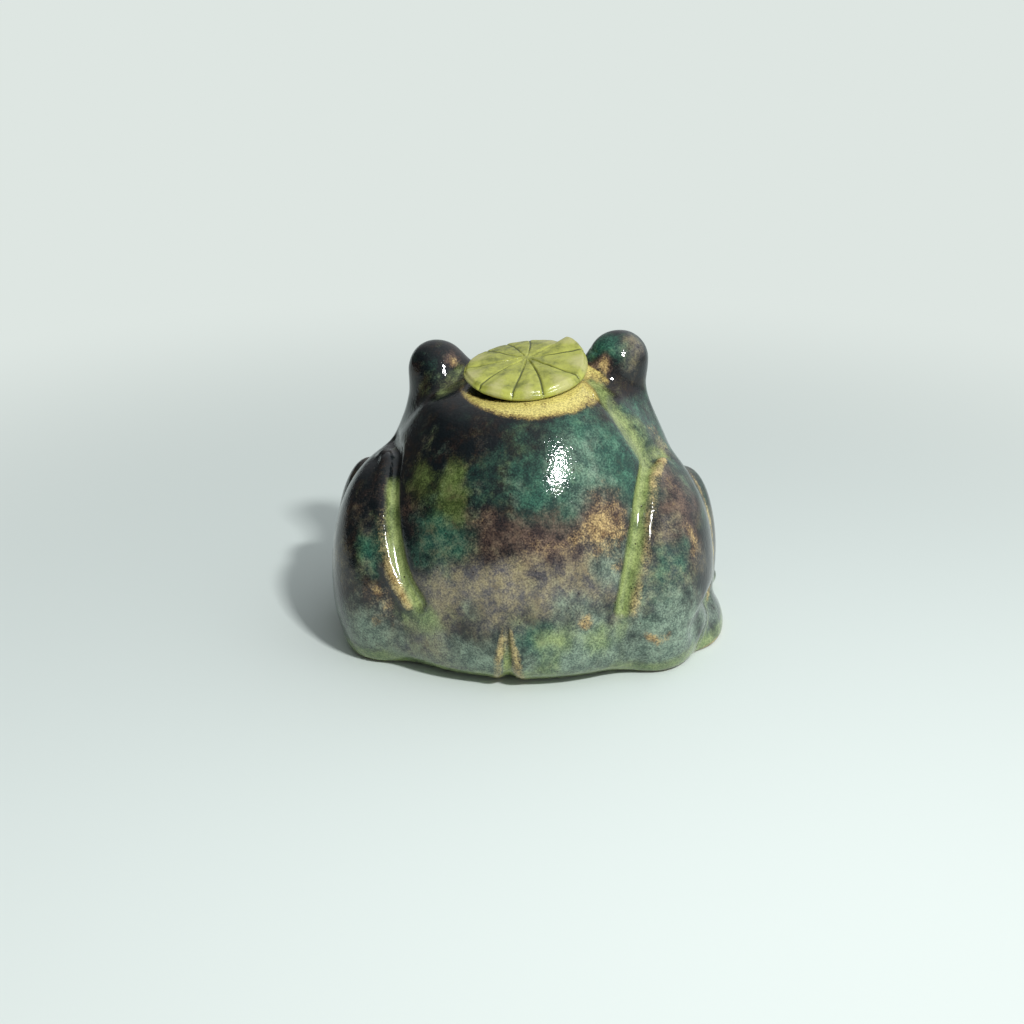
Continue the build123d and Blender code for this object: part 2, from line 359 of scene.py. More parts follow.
@dataclass
class FrogShape:
    """Every clay piece of the frog and how they are luted together."""

    pot: Pot = field(default_factory=Pot)
    eye_radius: float = 8.4
    eye_neck: float = 7.8
    eye_out: float = 25.5
    eye_forward: float = 8.0
    eye_heights: Dict[Side, float] = field(default_factory=lambda: {Side.LEFT: 74.0, Side.RIGHT: 78.0})
    thigh_half: Triple = (15.5, 25.5, 31.0)
    thigh_place: Triple = (38.4, 10.1, 22.3)
    thigh_lean: float = 17.0
    shin_half: Triple = (10.0, 13.5, 26.0)
    shin_out: Dict[Side, float] = field(default_factory=lambda: {Side.LEFT: 46.3, Side.RIGHT: 45.1})
    shin_back: float = -6.1
    shin_up: float = 20.5
    shin_lean: float = 9.0
    foot_half: Triple = (10.5, 20.0, 12.0)
    foot_out: Dict[Side, float] = field(default_factory=lambda: {Side.LEFT: 44.6, Side.RIGHT: 47.5})
    foot_back: float = -3.3
    hind_toe_radii: Tuple[float, float] = (2.9, 3.7)
    hind_toe_reach: float = 30.0
    hind_toe_turns: Triple = (10.0, -4.0, -18.0)
    hind_toe_shares: Triple = (0.96, 1.00, 0.96)
    shoulder: Triple = (27.8, -31.0, 34.4)
    wrist: Triple = (22.1, -48.9, 5.6)
    foreleg_radii: Tuple[float, float] = (9.0, 5.6)
    fore_toe_radii: Tuple[float, float] = (2.4, 2.9)
    fore_toe_reach: float = 11.0
    fore_toe_turns: Triple = (38.0, 4.0, -30.0)
    toe_root_share: float = 0.3
    smile_height: float = 44.0
    smile_rise: float = 9.0
    folds: Tuple[Scoring, ...] = (
        Scoring(((-18.9, 4.8, 76.3), (-24.8, 11.8, 71.7), (-31.0, 15.5, 63.3), (-35.0, 15.1, 57.5)), 4.2, 1.5),
        Scoring(((18.0, -2.7, 74.9), (19.6, 2.4, 74.2), (21.6, 6.2, 72.6)), 3.6, 0.8),
    )
    grooves: Dict[Side, Tuple[Triple, ...]] = field(default_factory=lambda: {
        Side.LEFT: ((38.6, 0.0, 56.2), (35.6, 10.5, 56.0), (34.0, 16.0, 54.7), (33.8, 25.5, 46.4),
                    (32.3, 32.9, 37.7), (29.5, 38.0, 29.7), (25.0, 41.9, 23.4)),
        Side.RIGHT: ((-39.3, 6.4, 56.0), (-36.6, 11.6, 57.4), (-34.3, 19.3, 55.0), (-33.2, 26.2, 48.9), (-32.3, 32.5, 39.8), (-30.7, 37.0, 30.0), (-29.4, 39.1, 22.2)),
    })
    groove_width: float = 2.1
    groove_depth: float = 1.9
    ridge_out: Triple = (3.0, -1.6, -0.8)
    ridge_width: float = 2.4
    ridge_height: float = 1.4
    hollows: Tuple[Scoring, ...] = (
        Scoring(((-54.0, 6.0, 13.0), (-52.2, 17.0, 15.5), (-50.5, 25.5, 12.5)), 3.6, 3.2),
        Scoring(((54.5, 4.0, 11.0), (53.0, 14.0, 11.5)), 3.0, 1.6),
    )

    def groove(self, side: Side) -> Scoring:
        """The channel between body and hind leg."""
        return Scoring(self.grooves[side], self.groove_width, self.groove_depth)

    def ridge(self, side: Side) -> Scoring:
        """The raised inner edge of the hind leg, beside its channel."""
        out, back, up = self.ridge_out
        line = tuple((x + side.value * out, y + back, z + up) for x, y, z in self.grooves[side][1:])
        return Scoring(line, self.ridge_width, -self.ridge_height)

    def cleft_half_width(self, z: np.ndarray) -> np.ndarray:
        """Half the width of the cleft between its two edges, wider toward the base."""
        return 1.0 + 0.13 * np.clip(20.0 - z, 0.0, 20.0)

    def _toes(self, side: Side, centre: Triple, turns: Sequence[float], reaches: Sequence[float],
              radii: Tuple[float, float]) -> List[Coil]:
        """Coils fanned out from a foot.

        Args:
            side: Which side of the frog.
            centre: Middle of the foot.
            turns: Angle of each toe from straight ahead, outward.
            reaches: How far each toe's end stands from the middle.
            radii: Radius at the root and at the tip.

        Returns:
            One coil for each toe.
        """
        made = []
        for turn, reach in zip(turns, reaches):
            x, y = side.value * math.sin(math.radians(turn)), -math.cos(math.radians(turn))
            root = tuple(c + reach * self.toe_root_share * w for c, w in zip(centre[:2], (x, y))) + (radii[0],)
            tip = tuple(c + reach * w for c, w in zip(centre[:2], (x, y))) + (radii[1],)
            made.append(Coil(root, tip, radii[0], radii[1]))
        return made

    def limbs(self, side: Side) -> Dict[str, List[Any]]:
        """The clay forms of one side, by node name."""
        s, word = side.value, side.word
        eye = (s * self.eye_out, -self.eye_forward, self.eye_heights[side])
        foot = (s * self.foot_out[side], self.foot_back, 0.0)
        wrist = (s * self.wrist[0], self.wrist[1], self.wrist[2])
        neck = Coil((eye[0], eye[1], eye[2] - 5.0), (eye[0], eye[1], eye[2] - 22.0), self.eye_neck, self.eye_neck)
        thigh = Egg((s * self.thigh_place[0],) + self.thigh_place[1:], self.thigh_half, self.thigh_lean)
        shin = Egg((s * self.shin_out[side], self.shin_back, self.shin_up), self.shin_half, self.shin_lean)
        reaches = [self.hind_toe_reach * share for share in self.hind_toe_shares]
        hind_toes = self._toes(side, foot, self.hind_toe_turns, reaches, self.hind_toe_radii)
        fore_toes = self._toes(side, wrist, self.fore_toe_turns, [self.fore_toe_reach] * 3, self.fore_toe_radii)
        shoulder = (s * self.shoulder[0], self.shoulder[1], self.shoulder[2])
        return {
            f"{word}_eye": [Coil(eye, (eye[0], eye[1], eye[2] - 0.01), self.eye_radius, self.eye_radius), neck],
            f"{word}_thigh": [thigh],
            f"{word}_shin": [shin],
            f"{word}_hind_foot": [Egg(foot, self.foot_half)],
            f"{word}_hind_toes": list(hind_toes),
            f"{word}_foreleg": [Coil(shoulder, wrist, *self.foreleg_radii)],
            f"{word}_fore_toes": list(fore_toes),
        }

    def distances(self, points: np.ndarray) -> Dict[str, np.ndarray]:
        """Distance to each clay piece alone, by node name."""
        found = {"jar_body": self.pot.outside(points)}
        for side in Side:
            for name, forms in self.limbs(side).items():
                best = forms[0].distance(points)
                for form in forms[1:]:
                    best = join(best, form.distance(points), 2.0)
                found[name] = best
        return found

    FILLETS = {"eye": 7.0, "shin": 2.4, "hind_foot": 3.0, "hind_toes": 2.2, "foreleg": 5.0, "fore_toes": 2.0}

    def luted(self, points: np.ndarray, apart: Dict[str, np.ndarray]) -> np.ndarray:
        """Distance to all the pieces luted together.

        Args:
            points: Places in millimetres.
            apart: Distance to each piece alone.

        Returns:
            Distances to the fused frog, before it is cut flat and hollowed.
        """
        total = apart["jar_body"]
        haunch = 6.5 + 3.5 * smoothstep(28.0, 14.0, points[:, 2])
        for side in Side:
            total = join(total, apart[f"{side.word}_thigh"], haunch)
        for kind, fillet in self.FILLETS.items():
            for side in Side:
                total = join(total, apart[f"{side.word}_{kind}"], fillet)
        return total

    def carving(self, points: np.ndarray) -> np.ndarray:
        """Depth of everything drawn or pressed into the clay."""
        x, y, z = points.T
        rear, front = smoothstep(10.0, 25.0, y), smoothstep(-16.0, -24.0, y)
        half = self.cleft_half_width(z)
        cleft = smoothstep(24.0, 13.0, z) * rear
        depth = cleft * (1.4 * bell((x - 0.6) / half, 0.6) - 0.45 * bell((np.abs(x - 0.6) - half) / half, 0.7))
        smile = z - self.smile_height - (y + 47.0) * math.tan(math.radians(self.smile_rise))
        depth += front * (1.5 * bell(smile, 0.9) - 0.7 * bell(smile - 2.6, 2.0))
        for side in Side:
            nostril = np.hypot(x - side.value * 6.5, z - 54.0)
            depth += smoothstep(-25.0, -32.0, y) * (1.3 * bell(nostril, 1.2) - 0.5 * bell(nostril - 2.4, 1.1))
            look = np.array([side.value * 0.42, -0.88, 0.22])
            way = points - np.array([side.value * self.eye_out, -self.eye_forward, self.eye_heights[side]])
            near = smoothstep(11.5, 8.8, np.linalg.norm(way, axis=1))
            round_eye = np.linalg.norm(way - np.outer(way @ look, look), axis=1)
            ahead = smoothstep(0.0, 2.0, way @ look) * near
            depth += ahead * (0.7 * bell(round_eye - 4.7, 0.7) - 0.4 * bell(round_eye - 6.3, 0.9))
            depth += self.groove(side).cut(points) + self.ridge(side).cut(points)
        for fold in self.folds + self.hollows:
            depth += fold.cut(points)
        uneven = 0.24 * wander(points, 44.0, 5) + 0.03 * wander(points, 15.0, 9) - 0.8 * bell(z - 59.0, 12.0) * rear
        return depth + uneven * smoothstep(0.0, -6.0, self.pot.above_mouth(points))

    def skin(self, points: np.ndarray) -> np.ndarray:
        """Distance to the finished clay surface, negative in the clay."""
        total = self.luted(points, self.distances(points)) + self.carving(points)
        total = trim(total, -points[:, 2], 1.8)
        return trim(total, -self.pot.inside(points), 1.2)


@dataclass(frozen=True)
class Patch:
    """A soft-edged area of one tone on the glaze."""

    tone: Tone
    place: Triple
    radius: float
    strength: float = 1.0


PATCHES: Tuple[Patch, ...] = (
    Patch(Tone.TEAL, (-23.0, 26.0, 62.0), 13.0, 0.95),
    Patch(Tone.TEAL, (-8.0, 38.0, 54.0), 11.0, 0.46),
    Patch(Tone.TEAL, (18.5, 40.0, 43.0), 10.0, 0.65),
    Patch(Tone.TEAL, (19.6, 42.6, 36.3), 7.0, 0.75),
    Patch(Tone.TEAL, (5.0, 35.0, 60.0), 10.0, 0.26),
    Patch(Tone.TEAL, (38.0, 33.0, 33.0), 5.5, 0.85),
    Patch(Tone.TEAL, (-41.8, 32.6, 31.0), 8.0, 0.85),
    Patch(Tone.TEAL, (-36.0, 35.0, 22.0), 8.0, 0.70),
    Patch(Tone.TEAL, (-7.0, 47.5, 17.0), 9.0, 0.80),
    Patch(Tone.TEAL, (-23.0, -4.0, 84.0), 6.0, 0.85),
    Patch(Tone.TEAL, (26.0, -36.0, 58.0), 11.0, 0.80),
    Patch(Tone.TEAL, (-30.0, -34.0, 40.0), 9.0, 0.70),
    Patch(Tone.OLIVE, (16.0, 37.0, 52.0), 8.0, 0.90),
    Patch(Tone.OLIVE, (26.0, 29.0, 54.0), 6.0, 0.45),
    Patch(Tone.OLIVE, (-14.0, -40.0, 54.0), 10.0, 0.80),
    Patch(Tone.RUST, (-24.0, 36.0, 48.0), 8.0, 0.95),
    Patch(Tone.RUST, (-13.0, 43.5, 42.0), 9.0, 0.75),
    Patch(Tone.RUST, (-3.0, 45.0, 43.0), 7.0, 0.45),
    Patch(Tone.RUST, (9.0, 43.0, 46.0), 5.0, 0.45),
    Patch(Tone.RUST, (-19.5, 44.6, 19.0), 4.0, 0.75),
    Patch(Tone.RUST, (-37.0, 35.5, 13.6), 4.0, 0.70),
    Patch(Tone.RUST, (34.0, 37.0, 17.0), 5.0, 0.70),
    Patch(Tone.RUST, (38.6, 36.0, 22.0), 4.0, 0.60),
    Patch(Tone.RUST, (-42.0, 18.0, 47.0), 9.0, 0.85),
    Patch(Tone.RUST, (-47.0, 25.0, 36.0), 6.0, 0.60),
    Patch(Tone.RUST, (-19.0, 1.0, 77.0), 5.0, 0.95),
    Patch(Tone.RUST, (18.5, -2.0, 77.5), 4.5, 0.90),
    Patch(Tone.RUST, (12.0, -44.0, 46.0), 10.0, 0.85),
    Patch(Tone.LILAC, (6.0, 47.0, 32.0), 9.0, 0.80),
    Patch(Tone.LILAC, (-9.0, 47.0, 31.0), 7.0, 0.60),
    Patch(Tone.LILAC, (-21.0, 43.0, 31.0), 8.0, 0.55),
    Patch(Tone.LILAC, (18.0, 44.5, 29.0), 7.0, 0.55),
    Patch(Tone.LILAC, (0.0, 48.5, 20.0), 7.0, 0.65),
    Patch(Tone.LILAC, (22.0, 42.0, 10.5), 10.0, 0.90),
    Patch(Tone.LILAC, (-30.0, -4.0, 82.0), 5.0, 0.55),
    Patch(Tone.LILAC, (-40.0, 27.0, 41.0), 5.0, 0.50),
    Patch(Tone.SEAFOAM, (-27.0, 39.5, 34.0), 6.0, 0.60),
    Patch(Tone.SEAFOAM, (-15.0, 45.5, 27.0), 5.0, 0.55),
    Patch(Tone.SEAFOAM, (12.0, 46.5, 24.0), 5.0, 0.45),
    Patch(Tone.SEAFOAM, (-22.0, 43.0, 12.0), 12.0, 0.75),
    Patch(Tone.SEAFOAM, (9.0, 46.5, 8.0), 7.0, 0.65),
    Patch(Tone.SEAFOAM, (-44.0, 33.0, 15.0), 10.0, 0.80),
    Patch(Tone.SEAFOAM, (40.0, 33.0, 14.0), 8.0, 0.45),
    Patch(Tone.LILAC, (40.0, 32.0, 9.0), 8.0, 0.60),
    Patch(Tone.APPLE, (-13.5, 46.9, 15.5), 5.0, 0.85),
    Patch(Tone.APPLE, (-25.0, 42.0, 15.0), 5.0, 0.75),
    Patch(Tone.APPLE, (22.0, 43.5, 18.5), 6.0, 0.75),
    Patch(Tone.APPLE, (30.0, 38.5, 21.5), 4.0, 0.70),
    Patch(Tone.APPLE, (-48.0, 25.5, 5.0), 5.0, 0.70),
    Patch(Tone.APPLE, (-9.0, 45.0, 7.0), 5.0, 0.65),
    Patch(Tone.LILAC, (-4.0, -46.0, 30.0), 11.0, 0.75),
    Patch(Tone.APPLE, (14.0, -43.0, 22.0), 6.0, 0.70),
    Patch(Tone.TEAL, (50.0, 4.0, 36.0), 9.0, 0.80),
    Patch(Tone.SEAFOAM, (-19.0, 31.0, 59.0), 9.0, 0.55),
    Patch(Tone.AMBER, (-25.0, 35.0, 48.0), 8.0, 0.50),
    Patch(Tone.AMBER, (-18.0, 40.5, 45.0), 6.5, 0.32),
    Patch(Tone.AMBER, (-21.0, 42.0, 38.0), 7.0, 0.31),
    Patch(Tone.AMBER, (-27.5, 37.0, 40.5), 6.0, 0.36),
    Patch(Tone.TEAL, (-36.0, 4.0, 66.0), 8.0, 0.75),
    Patch(Tone.APPLE, (-35.0, 10.0, 61.5), 5.0, 0.60),
    Patch(Tone.AMBER, (-38.0, 2.0, 60.0), 5.0, 0.45),
    Patch(Tone.LILAC, (-38.0, 6.0, 58.0), 5.0, 0.60),
    Patch(Tone.AMBER, (-10.0, 43.6, 42.0), 5.0, 0.38),
    Patch(Tone.AMBER, (-1.0, 45.2, 39.0), 5.0, 0.42),
    Patch(Tone.AMBER, (9.0, 43.0, 46.0), 4.0, 0.44),
    Patch(Tone.AMBER, (-42.0, 18.0, 47.0), 6.0, 0.50),
    Patch(Tone.AMBER, (-47.0, 25.0, 36.0), 5.0, 0.45),
    Patch(Tone.AMBER, (-19.5, 44.6, 19.0), 3.5, 0.60),
    Patch(Tone.AMBER, (-37.0, 35.5, 13.6), 3.0, 0.60),
    Patch(Tone.AMBER, (34.0, 37.0, 17.0), 4.5, 0.50),
    Patch(Tone.AMBER, (38.6, 36.0, 22.0), 3.5, 0.50),
    Patch(Tone.AMBER, (-18.6, 1.0, 76.0), 4.0, 0.70),
    Patch(Tone.AMBER, (17.4, -2.0, 76.0), 4.2, 0.75),
    Patch(Tone.AMBER, (12.0, -44.0, 46.0), 6.0, 0.55),
    Patch(Tone.RUST, (52.0, 14.0, 24.0), 7.0, 0.75),
    Patch(Tone.TEAL, (-50.0, 2.0, 34.0), 8.0, 0.75),
)


@dataclass
class GlazeMap:
    """Where the glaze pools, breaks and changes tone, as values on the skin's points."""

    shape: FrogShape
    rim_width: float = 2.2

    def _bands(self, points: np.ndarray) -> Dict[Tone, np.ndarray]:
        """Tones that run round the jar as the glaze flowed down it; the teal band's fade toward the frog's left side is
        painted shade.
        """
        z = points[:, 2] + 5.0 * wander(points, 30.0, 21)
        x, y = points[:, 0], points[:, 1]
        none, front = np.zeros(len(points)), smoothstep(10.0, -15.0, y)
        return {
            # Teal: the glaze's own tone, plus painted shade where it fades out toward the frog's left side and leaves
            # the near-black base.
            Tone.TEAL: np.maximum(0.40 * bell(z - 52.0, 14.0) * smoothstep(25.0, -25.0, x), 0.55 * front * bell(z - 62.0, 11.0)),
            Tone.OLIVE: none,
            Tone.RUST: (0.34 + 0.2 * front) * bell(z - 44.0, 9.0) * smoothstep(60.0, 40.0, np.abs(x)),
            Tone.LILAC: 0.34 * bell(z - 29.0, 9.0) * np.maximum(smoothstep(-10.0, 25.0, y), front),
            Tone.SEAFOAM: 0.50 * smoothstep(24.0, 8.0, z),
            Tone.APPLE: 0.85 * smoothstep(7.5, 2.5, points[:, 2]),
            Tone.AMBER: none,
        }

    def _pool(self, points: np.ndarray, fillet: np.ndarray) -> np.ndarray:
        """Where the glaze ran together: channels, folds and the fillets between pieces.

        Args:
            points: Places in millimetres.
            fillet: How much clay the luting added at each place.

        Returns:
            Values of 0 to 1.
        """
        x, y, z = points.T
        low = smoothstep(16.0, 8.0, z) * np.maximum(smoothstep(-5.0, -20.0, y), smoothstep(40.0, 46.0, np.abs(x)))
        pool = smoothstep(0.15, 1.2, fillet) * low * 0.55
        for side in Side:
            down = smoothstep(55.0, 48.0, z) if side is Side.LEFT else 1.0
            pool = np.maximum(pool, down * bell(self.shape.groove(side).distance(points), 2.4))
        for fold, share in zip(self.shape.folds, (0.85, 0.45)):
            pool = np.maximum(pool, share * bell(fold.distance(points), 4.6))
        half = self.shape.cleft_half_width(z)
        cleft = smoothstep(22.0, 12.0, z) * smoothstep(10.0, 25.0, y)
        return np.maximum(pool, 0.85 * cleft * bell((x - 0.6) / half, 0.5))

    def _breaks(self, points: np.ndarray, apart: Dict[str, np.ndarray], bend: np.ndarray) -> np.ndarray:
        """Where the glaze ran thin: edges, the legs' inner ridges and the cleft's two lips.

        Args:
            points: Places in millimetres.
            apart: Distance to each clay piece alone.
            bend: Mean curvature, positive on edges.

        Returns:
            Values of 0 to 1.
        """
        x, y, z = points.T
        thin = 0.64 * smoothstep(0.13, 0.34, bend)
        for side in Side:
            thigh, shin = apart[f"{side.word}_thigh"], apart[f"{side.word}_shin"]
            on_shin = smoothstep(1.2, 0.3, np.abs(shin))
            down = smoothstep(56.0, 45.0, z) if side is Side.LEFT else 1.0
            thin = np.maximum(thin, 1.10 * down * bell(self.shape.ridge(side).distance(points), 1.75))
            thin = np.maximum(thin, 0.60 * on_shin * bell(thigh - 1.2, 0.9))
        half = self.shape.cleft_half_width(z)
        lips = smoothstep(30.0, 17.0, z) * smoothstep(10.0, 25.0, y)
        return np.clip(np.maximum(thin, 0.62 * lips * bell((np.abs(x - 0.6) - half) / half, 0.75)), 0.0, 1.0)

    def values(self, points: np.ndarray, bend: np.ndarray) -> Dict[str, np.ndarray]:
        """Work out every value that the glaze's nodes read.

        Args:
            points: Places on the skin in millimetres.
            bend: Mean curvature there, positive on edges, per millimetre.

        Returns:
            Attribute name to one value for each point.
        """
        apart = self.shape.distances(points)
        nearest = np.min(np.stack(list(apart.values())), axis=0)
        fillet = nearest - self.shape.luted(points, apart)
        inside = self.shape.pot.inside(points)
        liner = smoothstep(1.6, 0.4, np.abs(inside)) * smoothstep(-2.0, -4.0, apart["jar_body"])
        coat = 1.0 - liner
        below = -self.shape.pot.above_mouth(points)
        on_pot = smoothstep(1.6, 0.6, np.abs(apart["jar_body"]))
        off = points - np.array(self.shape.pot.mouth) + np.outer(below, self.shape.pot.axis())
        off_axis = np.linalg.norm(off, axis=1) + 1e-9
        # Painted shade: on the lid's left side the ochre rim band starts further out from the leaf's edge and stops
        # sooner, so the dark base glaze shows there as the leaf's shadow. Elsewhere the band is the glaze's own colour.
        left = np.clip(off[:, 0] / off_axis, 0.0, 1.0)
        rim_band_cut_for_painted_shade = smoothstep(14.8, 16.6, off_axis - 2.4 * left) * smoothstep(2.4, -2.0, off_axis - 23.6 + 6.2 * left)
        masks: Dict[str, np.ndarray] = {
            "pool": self._pool(points, fillet) * coat,
            "breaks": self._breaks(points, apart, bend) * coat,
            "rim": smoothstep(2.6 * self.rim_width, -0.2 * self.rim_width, below) * on_pot * coat * rim_band_cut_for_painted_shade,
            "liner": liner,
            "bare": smoothstep(0.7, 0.15, points[:, 2]),
        }
        drift = np.stack([wander(points, 16.0, seed) for seed in (31, 32, 33)], 1)
        moved = points + 3.0 * drift
        for tone, band in self._bands(points).items():
            left = 1.0 - band
            for patch in PATCHES:
                if patch.tone is tone:
                    off = np.linalg.norm(moved - np.array(patch.place), axis=1)
                    left = left * (1.0 - patch.strength * bell(off, patch.radius))
            masks[tone.value] = 1.0 - left
        return masks


@dataclass(frozen=True)
class ReactiveGlaze:
    """Glossy rutile glaze, dipped and fired over stoneware.

    It pools apple green in the hollows, breaks ochre where it ran thin over edges, and between them
    settles in blotches with a fine grain, under one hard wet-looking gloss.
    """

    name: str = "mottled_stoneware_glaze"
    night: str = "#0c1316"
    umber: str = "#22150e"
    teal: str = "#1c4339"
    teal_light: str = "#42705a"
    olive: str = "#36441f"
    olive_light: str = "#5d6d3c"
    rust: str = "#2d2222"
    rust_light: str = "#655246"
    lilac: str = "#5b585c"
    lilac_light: str = "#928767"
    seafoam: str = "#586b5f"
    seafoam_light: str = "#869986"
    apple: str = "#62774d"
    apple_light: str = "#8c9b68"
    iron: str = "#33231a"
    amber: str = "#5f4630"
    amber_light: str = "#b59d6a"
    pool: str = "#8e9b62"
    pool_deep: str = "#5f7040"
    ochre: str = "#b8a672"
    ochre_dark: str = "#836c44"
    rim: str = "#cabd6f"
    rim_dark: str = "#6f5229"
    liner: str = "#7a5c34"
    clay: str = "#b59a78"
    speck: str = "#1c130d"
    gloss: float = 0.06
    index: float = 1.49
    mottle_mm: float = 5.5
    cluster_mm: float = 2.4
    grain_mm: float = 0.30
    pinhole_mm: float = 3.2
    peel_mm: float = 0.6

    def build(self) -> bpy.types.Material:
        """Make the glaze's material.

        Returns:
            The material, ready to be put on the frog's pieces.
        """
        material = bpy.data.materials.new(self.name)
        material.use_nodes = True
        tree = material.node_tree
        tree.nodes.clear()
        place = add_node(tree, "ShaderNodeTexCoord", {}).outputs["Object"]

        def noise(size_mm: float, detail: float, number: int, stretch: Triple = (1.0, 1.0, 1.0), rough: float = 0.58) -> Any:
            """Noise with blobs about size_mm across; number picks the pattern and stretch draws it out."""
            turned = add_node(tree, "ShaderNodeMapping", {
                "Vector": place, "Scale": stretch, "Rotation": (0.5, 0.7, 0.4 + number), "Location": (0.11 * number, 0.0, 0.0),
            }).outputs[0]
            return add_node(tree, "ShaderNodeTexNoise", {
                "Vector": turned, "Scale": 1.0 / (size_mm * 1.6 * MM), "Detail": detail, "Roughness": rough,
                "Lacunarity": 2.13,
            }).outputs["Fac"]

        def ramp(value: Any, low: float, high: float) -> Any:
            """A soft step from 0 at low to 1 at high."""
            return add_node(tree, "ShaderNodeMapRange", {
                "Value": value, "From Min": low, "From Max": high,
            }, interpolation_type="SMOOTHSTEP").outputs[0]

        def mix(share: Any, below: Any, above: Any) -> Any:
            """Colour above laid over colour below by share."""
            return add_node(tree, "ShaderNodeMix", {0: share, 6: below, 7: above}, data_type="RGBA").outputs[2]

        def sum_of(a: Any, b: Any, scale: float) -> Any:
            """a plus scale times b."""
            return add_node(tree, "ShaderNodeMath", {0: b, 1: scale, 2: a}, operation="MULTIPLY_ADD").outputs[0]

        def mask(name: str) -> Any:
            """A value that the skin carries."""
            return add_node(tree, "ShaderNodeAttribute", {}, attribute_name=name).outputs["Fac"]

        def between(share: float, first: Any, second: Any) -> Any:
            """Two noises in one, with share of the second."""
            return add_node(tree, "ShaderNodeMix", {0: share, 2: first, 3: second}).outputs[0]

        runny = (1.0, 1.0, 0.45)
        grain = noise(self.grain_mm, 1.0, 3)
        cluster = between(0.22, noise(self.cluster_mm, 5.0, 1, rough=0.68), grain)
        speckle = between(0.22, noise(self.cluster_mm * 1.3, 6.0, 2, rough=0.76), grain)
        break_up = between(0.35, noise(self.mottle_mm, 5.0, 4), cluster)
        run_up = between(0.35, noise(self.mottle_mm * 0.8, 5.0, 5, runny), cluster)

        def laid(name: str, below: Any, dark: str, light: str, edge: Any, soft: float) -> Any:
            """Lay one tone over the glaze in clouds that the noise breaks up, dark and light by turns."""
            share = ramp(sum_of(mask(name), edge, 1.8), 1.4 - soft, 1.4 + soft)
            return mix(share, below, mix(ramp(cluster, 0.35, 0.65), srgb(dark), srgb(light)))

        # Near-black and umber base. On the frog's left side, where the teal fades and no tone covers it, this base also
        # stands as painted shade.
        colour = mix(ramp(break_up, 0.46, 0.66), srgb(self.night), srgb(self.umber))
        colour = laid("teal", colour, self.teal, self.teal_light, between(0.3, noise(self.mottle_mm, 5.0, 6), cluster), 0.42)
        colour = laid("olive", colour, self.olive, self.olive_light, break_up, 0.42)
        colour = laid("rust", colour, self.rust, self.rust_light, between(0.4, break_up, speckle), 0.36)
        colour = laid("lilac", colour, self.lilac, self.lilac_light, between(0.3, noise(self.mottle_mm, 5.0, 7), cluster), 0.44)
        colour = laid("seafoam", colour, self.seafoam, self.seafoam_light, run_up, 0.42)
        colour = laid("apple", colour, self.apple, self.apple_light, between(0.3, noise(self.mottle_mm, 5.0, 8, runny), cluster), 0.40)
        iron = add_node(tree, "ShaderNodeMath", {0: ramp(speckle, 0.50, 0.72), 1: 0.6}, operation="MULTIPLY").outputs[0]
        colour = mix(iron, colour, srgb(self.iron))
        colour = laid("amber", colour, self.amber, self.amber_light, between(0.75, break_up, speckle), 0.20)
        thin = ramp(sum_of(mask("breaks"), between(0.6, break_up, speckle), 1.8), 1.12, 1.68)
        colour = mix(thin, colour, mix(ramp(speckle, 0.36, 0.60), srgb(self.ochre_dark), srgb(self.ochre)))
        pooled = mask("pool")
        deep = ramp(sum_of(pooled, run_up, 1.5), 0.96, 1.60)
        runs = between(0.4, run_up, noise(self.mottle_mm * 0.22, 3.0, 11, (1.0, 1.0, 0.12)))
        colour = mix(deep, colour, mix(ramp(runs, 0.38, 0.58), srgb(self.pool_deep), srgb(self.pool)))
        # Rim band mask. On the lid's left side it is held back as painted shade, so the dark base shows as the leaf's
        # shadow.
        rim_band_cut_for_painted_shade = mask("rim")
        edged = sum_of(rim_band_cut_for_painted_shade, speckle, 2.4)
        near = ramp(rim_band_cut_for_painted_shade, 0.02, 0.30)
        halo = add_node(tree, "ShaderNodeMath", {0: ramp(edged, 1.05, 1.75), 1: near}, operation="MULTIPLY").outputs[0]
        colour = mix(halo, colour, srgb(self.rim_dark))
        band = add_node(tree, "ShaderNodeMath", {0: ramp(edged, 1.22, 2.10), 1: near}, operation="MULTIPLY").outputs[0]
        colour = mix(band, colour, mix(ramp(speckle, 0.27, 0.46), srgb(self.rim_dark), srgb(self.rim)))
        value = add_node(tree, "ShaderNodeMapRange", {
            "Value": grain, "From Min": 0.35, "From Max": 0.65, "To Min": 0.74, "To Max": 1.26}).outputs[0]
        colour = add_node(tree, "ShaderNodeVectorMath", {0: colour, "Scale": value}, operation="SCALE").outputs[0]
        colour = mix(mask("liner"), colour, srgb(self.liner))
        pits = add_node(tree, "ShaderNodeTexVoronoi", {
            "Vector": place, "Scale": 1.0 / (self.pinhole_mm * MM), "Randomness": 1.0,
        }).outputs["Distance"]
        pit = ramp(pits, 0.09, 0.05)
        colour = mix(pit, colour, srgb(self.speck))
        bare = mask("bare")
        colour = mix(bare, colour, mix(cluster, srgb(self.clay), srgb(self.ochre_dark)))
        rough = add_node(tree, "ShaderNodeMapRange", {
            "Value": break_up, "From Min": 0.35, "From Max": 0.65,
            "To Min": self.gloss * 0.7, "To Max": self.gloss * 1.8}).outputs[0]
        rough = add_node(tree, "ShaderNodeMath", {0: rough, 1: bare}, operation="MAXIMUM").outputs[0]
        dry = add_node(tree, "ShaderNodeMath", {0: 1.0, 1: deep}, operation="SUBTRACT").outputs[0]
        peel = add_node(tree, "ShaderNodeMath", {0: noise(self.peel_mm, 2.0, 9), 1: dry}, operation="MULTIPLY").outputs[0]
        height = sum_of(sum_of(sum_of(0.0, peel, 0.095), noise(self.mottle_mm * 1.6, 1.0, 10), 0.04), pit, -0.05)
        bump = add_node(tree, "ShaderNodeBump", {"Height": height, "Strength": 1.0, "Distance": MM})
        shader = add_node(tree, "ShaderNodeBsdfPrincipled", {
            "Base Color": colour, "Roughness": rough, "IOR": self.index, "Normal": bump.outputs[0],
        })
        add_node(tree, "ShaderNodeOutputMaterial", {"Surface": shader.outputs[0]})
        return material


